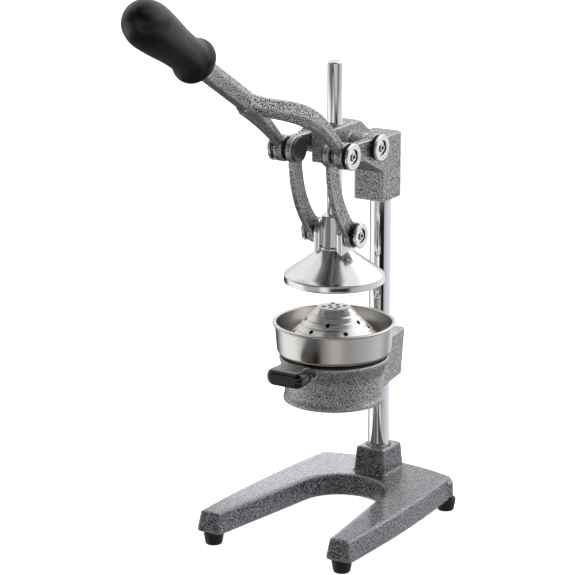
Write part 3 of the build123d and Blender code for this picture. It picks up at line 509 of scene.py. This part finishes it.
def perforate(piece, s, origin):  # the holes are punched square to the surface, in rings
    tree = bpy.data.node_groups.new("perforation", "GeometryNodeTree")

    def given(label, kind):
        tree.interface.new_socket(label, in_out="INPUT", socket_type="NodeSocket" + kind)
    for label, kind in (("Geometry", "Geometry"), ("Hole Radius", "Float"), ("Punch Depth", "Float"), ("Centre", "Vector"),
                        ("Material", "Material"), ("Hole Material", "Material")):
        given(label, kind)
    for ring in range(len(s["rows"])):
        for label, kind in (("Radius", "Float"), ("Count", "Int"), ("Turn", "Float"), ("Height", "Float"),
                            ("Rise", "Float")):
            given(f"Ring {ring} {label}", kind)
    tree.interface.new_socket("Geometry", in_out="OUTPUT", socket_type="NodeSocketGeometry")
    source, result = tree.nodes.new("NodeGroupInput"), tree.nodes.new("NodeGroupOutput")
    punch = tree.nodes.new("GeometryNodeMeshCylinder")
    punch.inputs["Vertices"].default_value = 28
    join(tree, source.outputs["Hole Radius"], punch.inputs["Radius"])
    join(tree, source.outputs["Punch Depth"], punch.inputs["Depth"])
    gather = tree.nodes.new("GeometryNodeJoinGeometry")
    for ring in range(len(s["rows"])):
        circle = tree.nodes.new("GeometryNodeMeshCircle")
        join(tree, source.outputs[f"Ring {ring} Radius"], circle.inputs["Radius"])
        join(tree, source.outputs[f"Ring {ring} Count"], circle.inputs["Vertices"])
        turn = tree.nodes.new("ShaderNodeCombineXYZ")
        join(tree, source.outputs[f"Ring {ring} Turn"], turn.inputs["Z"])
        swung = tree.nodes.new("GeometryNodeTransform")
        join(tree, circle.outputs["Mesh"], swung.inputs["Geometry"])
        join(tree, turn.outputs[0], swung.inputs["Rotation"])
        spot = tree.nodes.new("GeometryNodeInputPosition")
        rise = tree.nodes.new("ShaderNodeCombineXYZ")
        join(tree, source.outputs[f"Ring {ring} Rise"], rise.inputs["Z"])
        lean = addNode(tree, "ShaderNodeVectorMath", operation="ADD")
        join(tree, spot.outputs[0], lean.inputs[0])
        join(tree, rise.outputs[0], lean.inputs[1])
        aim = addNode(tree, "FunctionNodeAlignRotationToVector", axis="Z")
        join(tree, lean.outputs[0], aim.inputs["Vector"])
        spread = tree.nodes.new("GeometryNodeInstanceOnPoints")
        join(tree, swung.outputs["Geometry"], spread.inputs["Points"])
        join(tree, punch.outputs["Mesh"], spread.inputs["Instance"])
        join(tree, aim.outputs[0], spread.inputs["Rotation"])
        height = tree.nodes.new("ShaderNodeCombineXYZ")
        join(tree, source.outputs[f"Ring {ring} Height"], height.inputs["Z"])
        place = addNode(tree, "ShaderNodeVectorMath", operation="ADD")
        join(tree, source.outputs["Centre"], place.inputs[0])
        join(tree, height.outputs[0], place.inputs[1])
        moved = tree.nodes.new("GeometryNodeTransform")
        join(tree, spread.outputs[0], moved.inputs["Geometry"])
        join(tree, place.outputs[0], moved.inputs["Translation"])
        join(tree, moved.outputs[0], gather.inputs[0])
    solid = tree.nodes.new("GeometryNodeRealizeInstances")
    join(tree, gather.outputs[0], solid.inputs[0])
    shaded = tree.nodes.new("GeometryNodeSetMaterial")  # the hole walls keep this one
    join(tree, solid.outputs[0], shaded.inputs["Geometry"])
    join(tree, source.outputs["Hole Material"], shaded.inputs["Material"])
    cut = addNode(tree, "GeometryNodeMeshBoolean", operation="DIFFERENCE", solver="EXACT")
    join(tree, source.outputs["Geometry"], cut.inputs["Mesh 1"])
    join(tree, shaded.outputs[0], cut.inputs["Mesh 2"])
    walls = tree.nodes.new("GeometryNodeMaterialSelection")
    join(tree, source.outputs["Hole Material"], walls.inputs["Material"])
    rest = addNode(tree, "FunctionNodeBooleanMath", operation="NOT")
    join(tree, walls.outputs[0], rest.inputs[0])
    finishOn = tree.nodes.new("GeometryNodeSetMaterial")
    join(tree, cut.outputs["Mesh"], finishOn.inputs["Geometry"])
    join(tree, rest.outputs[0], finishOn.inputs["Selection"])
    join(tree, source.outputs["Material"], finishOn.inputs["Material"])
    join(tree, finishOn.outputs[0], result.inputs[0])
    values = {"Hole Radius": s["hole"] * mm, "Punch Depth": s["punch"] * mm, "Centre": origin, "Material": stainless,
              "Hole Material": capPit}
    for ring, (radius, count, start, height, rise) in enumerate(s["rows"]):
        values.update({f"Ring {ring} Radius": radius * mm, f"Ring {ring} Count": count,
                       f"Ring {ring} Turn": math.radians(start), f"Ring {ring} Height": height * mm,
                       f"Ring {ring} Rise": rise * mm})
    modifier = piece.modifiers.new("perforation", "NODES")
    modifier.node_group = tree
    for socket in tree.interface.items_tree:
        if socket.in_out == "INPUT" and socket.name in values:
            modifier[socket.identifier] = values[socket.name]
    graph = bpy.context.evaluated_depsgraph_get()
    mesh = bpy.data.meshes.new_from_object(piece.evaluated_get(graph), depsgraph=graph)
    piece.modifiers.clear()
    piece.data = mesh
    mesh.shade_smooth()
    mesh.set_sharp_from_angle(angle=math.radians(32))
    return piece


def buildCone():
    s = coneSizes
    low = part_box("strainer_cone")[0]
    origin = Vector((pressAxis.x, pressAxis.y, low.z))
    run, fall = (s["base"] - s["top"]) / s["steps"], (s["topHeight"] - 2.0 - s["baseHeight"]) / s["steps"]
    outside = [(0, s["topHeight"]), (s["top"] - 1.8, s["topHeight"], 1.6), (s["top"], s["topHeight"] - 2.0, 1.2)]
    for k in range(s["steps"]):
        r, h = s["top"] + k * run, s["topHeight"] - 2.0 - k * fall
        outside += [(r + 0.84 * run, h - 0.74 * fall, 1.0), (r + run, h - fall, 0.9)]
    outside += [(s["base"] + 1.6, 4.0, 1.5), (s["foot"], s["sheet"], 1.2), (s["flange"], s["sheet"], 0.4),
                (s["flange"], 0.0, 0.4), (s["foot"] - 1.5, 0.0, 1.0), (s["base"] - 0.6, 4.0, 1.0)]
    inside = [(s["base"] - 1.4, s["baseHeight"] - 1.0, 2.0), (s["top"] - 1.6, s["topHeight"] - 4.6, 2.0),
              (0, s["topHeight"] - s["sheet"] - 0.4)]
    cone = lathe("strainerCone", outside + inside, Matrix.Translation(origin), [stainless], steps=120)
    return settle(perforate(cone, s, origin), "strainer", "stainless", "strainer_cone")


buildCone()

# funnel, its plate and the gasket


def showNode(name, look):
    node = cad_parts[name]
    node.data.materials.clear()
    node.data.materials.append(look)


showNode("funnel", stainless)
showNode("funnel_strap", plateChrome)
gasketSizes = {"outer": 54.0, "inner": 44.6, "thick": 2.2}


def buildGasket():
    s = gasketSizes
    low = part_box("gasket")[0]
    line = [(s["inner"], 0, 0.6), (s["outer"], 0, 0.9), (s["outer"], s["thick"], 0.9), (s["inner"], s["thick"], 0.6)]
    gasket = lathe("bowlGasket", line, upright(pressAxis, low.z), [gasketRubber], closed=True, steps=128)
    return settle(gasket, "stand", "gasket_rubber", "gasket")


buildGasket()
print("bowl, cone and gasket built")

# lever grip
gripSizes = {"angle": 31.2, "length": 117.8, "start": (0.0, -241.4, 515.8),
             "line": [(0.0, 17.4), (0.7, 19.4), (2.8, 21.2), (5.6, 21.8), (8.6, 21.2), (12.0, 19.3), (17.0, 18.1),
                      (26.0, 17.8), (45.0, 18.8), (65.0, 21.0), (84.0, 22.4), (93.0, 22.2), (103.0, 19.6), (110.0, 15.0),
                      (115.0, 8.8), (117.3, 3.6), (117.8, 0.0)]}


def smoothLine(points, parts):  # a Catmull-Rom curve through the points
    result = []
    for i in range(len(points) - 1):
        p0, p1 = Vector(points[max(i - 1, 0)]), Vector(points[i])
        p2, p3 = Vector(points[i + 1]), Vector(points[min(i + 2, len(points) - 1)])
        for k in range(parts):
            t = k / parts
            bend, twist = 2 * p0 - 5 * p1 + 4 * p2 - p3, 3 * p1 - 3 * p2 + p3 - p0
            result.append(0.5 * ((2 * p1) + (p2 - p0) * t + bend * t * t + twist * t ** 3))
    result.append(Vector(points[-1]))
    return result


def buildGrip():
    s = gripSizes
    x, y, z = s["start"]
    lean = math.radians(s["angle"])
    place = towards((0, -math.cos(lean), math.sin(lean)), pressAxis + Vector((x, y, z)) * mm)
    line = [(abs(p.y), p.x) for p in smoothLine(s["line"], 6)]
    line = [(0.0, 0.0)] + line[:-1] + [(0.0, s["length"])]
    return settle(lathe("leverGrip", line, place, [blackGloss], steps=112), "lever", "black_gloss", "lever_grip")


buildGrip()

# feet
footSizes = {"top": 10.0, "bottom": 8.0}


def buildFoot(node):
    low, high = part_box(node)
    s = dict(footSizes, height=(high.z - low.z) / mm)
    line = [(0, 0), (s["bottom"], 0, 1.6), (s["bottom"] + 0.6, 2.0, 1.0), (s["top"], s["height"] - 3.0, 1.4),
            (s["top"], s["height"], 0.4), (0, s["height"])]
    centre = Vector(((low.x + high.x) / 2, (low.y + high.y) / 2, low.z))
    foot = lathe(camel(node), line, Matrix.Translation(centre), [rubber], steps=64)
    return settle(foot, "stand", "rubber_foot", node)


for corner in ("foot_front_left", "foot_front_right", "foot_rear_left", "foot_rear_right"):
    buildFoot(corner)

# pivot hardware
hardware = {"capRound": 0.9, "pit": (0.30, 0.55), "socket": 2.1, "dish": 0.3, "pitDepth": 2.0, "socketDepth": 2.2,
            "rimDrop": 0.5, "hubDrop": 0.15, "back": 0.93, "face": 0.90, "flangeThick": 2.6,
            "nutFace": 0.92, "nutFlats": (0.16, 0.84)}


def across(node, side):  # the place of a piece on a cross pin: its axis, inner face and outer face
    low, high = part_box(node)
    near, far = (low.x, high.x) if side > 0 else (high.x, low.x)
    centre = Vector((near, (low.y + high.y) / 2, (low.z + high.z) / 2))
    return towards((side, 0, 0), centre), abs(far - near) / mm, (high.y - low.y) / 2 / mm


def ringPiece(node, side, body, bore, look, slotName, ease):
    place, depth, radius = across(node, side)
    line = [(bore, 0, 0.15), (radius, 0, ease), (radius, depth, ease), (bore, depth, 0.15)]
    return settle(lathe(camel(node), line, place, [look], closed=True, steps=72), body, slotName, node)


def nutPiece(node, side, body, bore, corner):
    place, depth, _ = across(node, side)
    face, (low, high) = corner * hardware["nutFace"], hardware["nutFlats"]
    line = [(bore, 0, 0.3), (face, 0, 0.2, 0), (corner, depth * low, 0, 6), (corner, depth * high, 0, 6),
            (face, depth, 0.2, 0), (bore, depth, 0.3)]
    return settle(lathe(camel(node), line, place, [chrome], closed=True, steps=96), body, "chrome", node)


def capPiece(node, side, body, head, thick, shank, flange=0.0):
    place, length, _ = across(node, side)
    h = hardware
    low, high = h["pit"]
    dish, rim, hub = length - h["dish"], length - h["rimDrop"], length - h["hubDrop"]
    pit, socket, back = length - h["pitDepth"], length - h["socketDepth"], length - thick
    line = [(0, 0), (flange or shank, 0, 0.4)]
    if flange:
        line += [(flange, h["flangeThick"], 0.3), (shank, h["flangeThick"], 0.2)]
    line += [(shank, back, 0.2), (head * h["back"], back, 0.3), (head, back + 0.7, 0.5), (head, rim, h["capRound"]),
             (head * h["face"], length, 0.8), (head * high + 0.5, dish, 0.4), (head * high, dish - 0.4, 0.2),
             (head * high - 0.3, pit, 0.3), (head * low, pit, 0.3), (head * low, rim, 0.3), (head * low - 0.4, hub, 0.3),
             (h["socket"] + 0.2, hub, 0.2), (h["socket"], rim, 0.1, 6), (h["socket"], socket, 0.1, 6), (0, socket)]
    plain, tinted, dark, steel = range(4)  # places in the list of materials below

    def zone(radius, height):
        if height < h["flangeThick"] + 0.1 and flange:
            return steel
        if radius < h["socket"] * 0.97:
            return dark
        if radius < head * low + 0.05 and height > length - 3.0:
            return tinted
        return dark if head * high - 0.7 < radius < head * high + 0.1 and height < length - 0.35 else plain
    cap = lathe(camel(node), line, place, [capChrome, capHub, capPit, darkSteel], steps=96, pick=zone)
    return settle(cap, body, "chrome", node)


for side, name in ((-1, "left"), (1, "right")):
    ringPiece(f"crank_spacer_{name}", side, "lever", 5.0, zinc, "zinc_steel", 0.5)
    ringPiece(f"crank_inner_washer_{name}", side, "lever", 5.0, washerBlack, "black_nylon", 0.4)
    ringPiece(f"crank_outer_washer_{name}", side, "lever", 5.0, washerBlack, "black_nylon", 0.4)
    nutPiece(f"crank_nut_{name}", side, "lever", 5.0, 9.6)
    capPiece(f"crank_pin_{name}", side, "lever", 13.3, 3.0, 5.0, flange=12.4)
    ringPiece(f"pivot_washer_{name}", side, "stand", 5.0, washerBlack, "black_nylon", 0.4)
    nutPiece(f"pivot_nut_{name}", side, "stand", 5.0, 9.6)
    capPiece(f"pivot_cap_{name}", side, "stand", 13.3, 3.0, 2.5)
    ringPiece(f"bell_spacer_{name}", side, "bell", 3.0, zinc, "zinc_steel", 0.4)
    ringPiece(f"bell_washer_{name}", side, "bell", 3.0, washerBlack, "black_nylon", 0.4)
    nutPiece(f"bell_nut_{name}", side, "bell", 3.0, 9.0)
    capPiece(f"bell_pin_{name}", side, "bell", 12.6, 3.2, 3.0)
showNode("pivot_pin", chrome)
for node in ("guide_bush", "foot_screws", "ring_set_screws", "head_set_screws", "column_bolt", "column_washer"):
    showNode(node, zinc)
print("grip, feet and pivot hardware built")

# camera
view = {"lens": 184.9, "sensor": 36.0, "target": (-0.0392, -0.0244, 0.2493), "place": (1.4449, -2.4133, 1.0351)}


def buildCamera():
    data = bpy.data.cameras.new("studioCamera")
    data.lens, data.sensor_width = view["lens"], view["sensor"]
    data.clip_start, data.clip_end = 0.1, 100.0
    camera = bpy.data.objects.new("studioCamera", data)
    bpy.context.scene.collection.objects.link(camera)
    eye, aim = Vector(view["place"]) + pressAxis, Vector(view["target"]) + pressAxis
    camera.location = eye
    camera.rotation_mode = "QUATERNION"
    camera.rotation_quaternion = (aim - eye).to_track_quat("-Z", "Y")
    bpy.context.scene.camera = camera


buildCamera()

# studio: a white tent with a dark gap near the lens and soft strips beside it
studio = {"turn": 58.15, "floorSize": 60.0, "floorGlow": 0.98, "fill": 1.05,
          "softbox": {"place": (-0.42, 0.62, 0.24), "aim": (-0.06, 0.0, 0.05), "size": (0.22, 0.14), "power": 0.22}}


def buildStudio():
    scene = bpy.context.scene
    scene.view_settings.view_transform = "Standard"
    scene.view_settings.look = "None"
    world = bpy.data.worlds.new("studio")
    scene.world = world
    world.use_nodes = True
    tree = world.node_tree
    background = tree.nodes["Background"]
    place = addNode(tree, "ShaderNodeTexCoord")
    turned = addNode(tree, "ShaderNodeVectorRotate", rotation_type="Z_AXIS")
    turned.inputs["Angle"].default_value = math.radians(studio["turn"])
    join(tree, place.outputs["Generated"], turned.inputs["Vector"])
    parts = addNode(tree, "ShaderNodeSeparateXYZ")
    join(tree, turned.outputs[0], parts.inputs[0])
    # round the press: 0.5 is towards the lens, above 0.5 to its right
    heading = mathNode(tree, "ARCTAN2", parts.outputs["Y"], parts.outputs["X"])
    around = mathNode(tree, "ADD", mathNode(tree, "DIVIDE", heading, 2 * math.pi), 0.5)
    rise = mathNode(tree, "DIVIDE", mathNode(tree, "ARCSINE", parts.outputs["Z"]), math.pi)
    height = mathNode(tree, "ADD", rise, 0.5)

    def at(degrees):
        return degrees / 360.0 + 0.5

    def up(degrees):
        return degrees / 180.0 + 0.5

    def share(side):
        return 0.5 + 0.5 * side
    floorBand = ramp(tree, around, [
        (0.0, 0.12), (at(-150), 0.2), (at(-125), 1.0), (at(-88), 1.05), (at(-70), 0.65), (at(-52), 0.14), (at(-32), 0.07),
        (at(-18), 0.35), (at(-4), (0.70, 0.66, 0.63)), (at(11), (0.66, 0.62, 0.59)), (at(23), 0.38), (at(36), 0.42),
        (at(74), 0.52), (at(106), 0.70), (at(128), 0.3), (1.0, 0.12)])
    lowBand = ramp(tree, around, [
        (0.0, 0.05), (at(-142), 0.05), (at(-124), 0.95), (at(-78), 1.0), (at(-70), 0.46), (at(-36), 0.40), (at(-31), 0.95),
        (at(-17), 0.95), (at(-10), 0.01), (at(33), 0.01), (at(38), (0.40, 0.43, 0.48)), (at(62), (0.54, 0.57, 0.63)),
        (at(105), (0.68, 0.70, 0.76)), (at(140), 0.9), (at(168), 0.9), (1.0, 0.3)])
    levelBand = ramp(tree, around, [
        (0.0, 0.7), (at(-150), 0.7), (at(-110), 0.5), (at(-80), 0.16), (at(-42), 0.12), (at(-28), 0.5), (at(28), 0.5),
        (at(42), 0.10), (at(75), 0.45), (at(125), 0.65), (at(155), 0.8), (1.0, 0.7)])
    highBand = ramp(tree, around, [
        (0.0, 0.85), (at(-130), 0.9), (at(-95), 0.3), (at(-40), 0.10), (at(-10), 0.06), (at(32), 0.05), (at(46), 0.35),
        (at(75), 1.3), (at(130), 1.5), (1.0, 0.85)])
    sideways = mathNode(tree, "ADD", mathNode(tree, "MULTIPLY", parts.outputs["Y"], 0.5), 0.5)
    topBand = ramp(tree, sideways, [
        (0.0, 0.5), (share(-0.62), 0.9), (share(-0.44), 0.9), (share(-0.35), 0.03), (share(-0.09), 0.02),
        (share(-0.055), 0.45), (share(-0.03), 0.01), (share(0.14), 0.01), (share(0.22), 0.9), (share(0.6), 0.85),
        (1.0, 0.6)])
    behind = ramp(tree, mathNode(tree, "MULTIPLY", parts.outputs["X"], -1.0), [(0.13, 0.0), (0.30, 1.0)])
    ceiling = addNode(tree, "ShaderNodeMix", data_type="RGBA")
    join(tree, behind, ceiling.inputs["Factor"])
    join(tree, topBand, ceiling.inputs["A"])
    ceiling.inputs["B"].default_value = (0.85, 0.85, 0.85, 1.0)
    ground = addNode(tree, "ShaderNodeRGB")
    ground.outputs[0].default_value = (0.14, 0.14, 0.14, 1.0)
    shown = ground.outputs[0]
    for first, second, band in ((-42.0, -33.0, floorBand), (-22.5, -20.0, lowBand), (-9.5, -7.0, levelBand),
                                (9.0, 15.0, highBand), (46.0, 62.0, ceiling.outputs["Result"])):
        step = addNode(tree, "ShaderNodeMix", data_type="RGBA")
        join(tree, ramp(tree, height, [(up(first), 0.0), (up(second), 1.0)]), step.inputs["Factor"])
        join(tree, shown, step.inputs["A"])
        join(tree, band, step.inputs["B"])
        shown = step.outputs["Result"]
    join(tree, shown, background.inputs["Color"])
    background.inputs["Strength"].default_value = studio["fill"]

    box = studio["softbox"]  # a low panel behind the left side, whose sheen lies along the base's left leg
    lamp = bpy.data.lights.new("rearSoftbox", "AREA")
    lamp.shape, lamp.size, lamp.size_y, lamp.energy, lamp.color = "RECTANGLE", *box["size"], box["power"], (0.86, 0.9, 1.0)
    panel = bpy.data.objects.new("rearSoftbox", lamp)
    panel.location = pressAxis + Vector(box["place"])
    panel.rotation_mode = "QUATERNION"
    panel.rotation_quaternion = (Vector(box["aim"]) - Vector(box["place"])).to_track_quat("-Z", "Y")
    panel.visible_camera = False
    scene.collection.objects.link(panel)

    floor = bpy.data.meshes.new("studioFloor")
    half = studio["floorSize"] / 2
    floor.from_pydata([(-half, -half, 0), (half, -half, 0), (half, half, 0), (-half, half, 0)], [], [(0, 1, 2, 3)])
    pale, tree, shader = material("paleFloor", (0.86, 0.86, 0.86), 0.0, 0.9, Emission_Strength=studio["floorGlow"])
    shader.inputs["Emission Color"].default_value = (1, 1, 1, 1)
    floor.materials.append(pale)
    plane = bpy.data.objects.new("studioFloor", floor)
    scene.collection.objects.link(plane)
    plane.visible_glossy = False
    plane.visible_diffuse = False


buildStudio()
print("studio built")
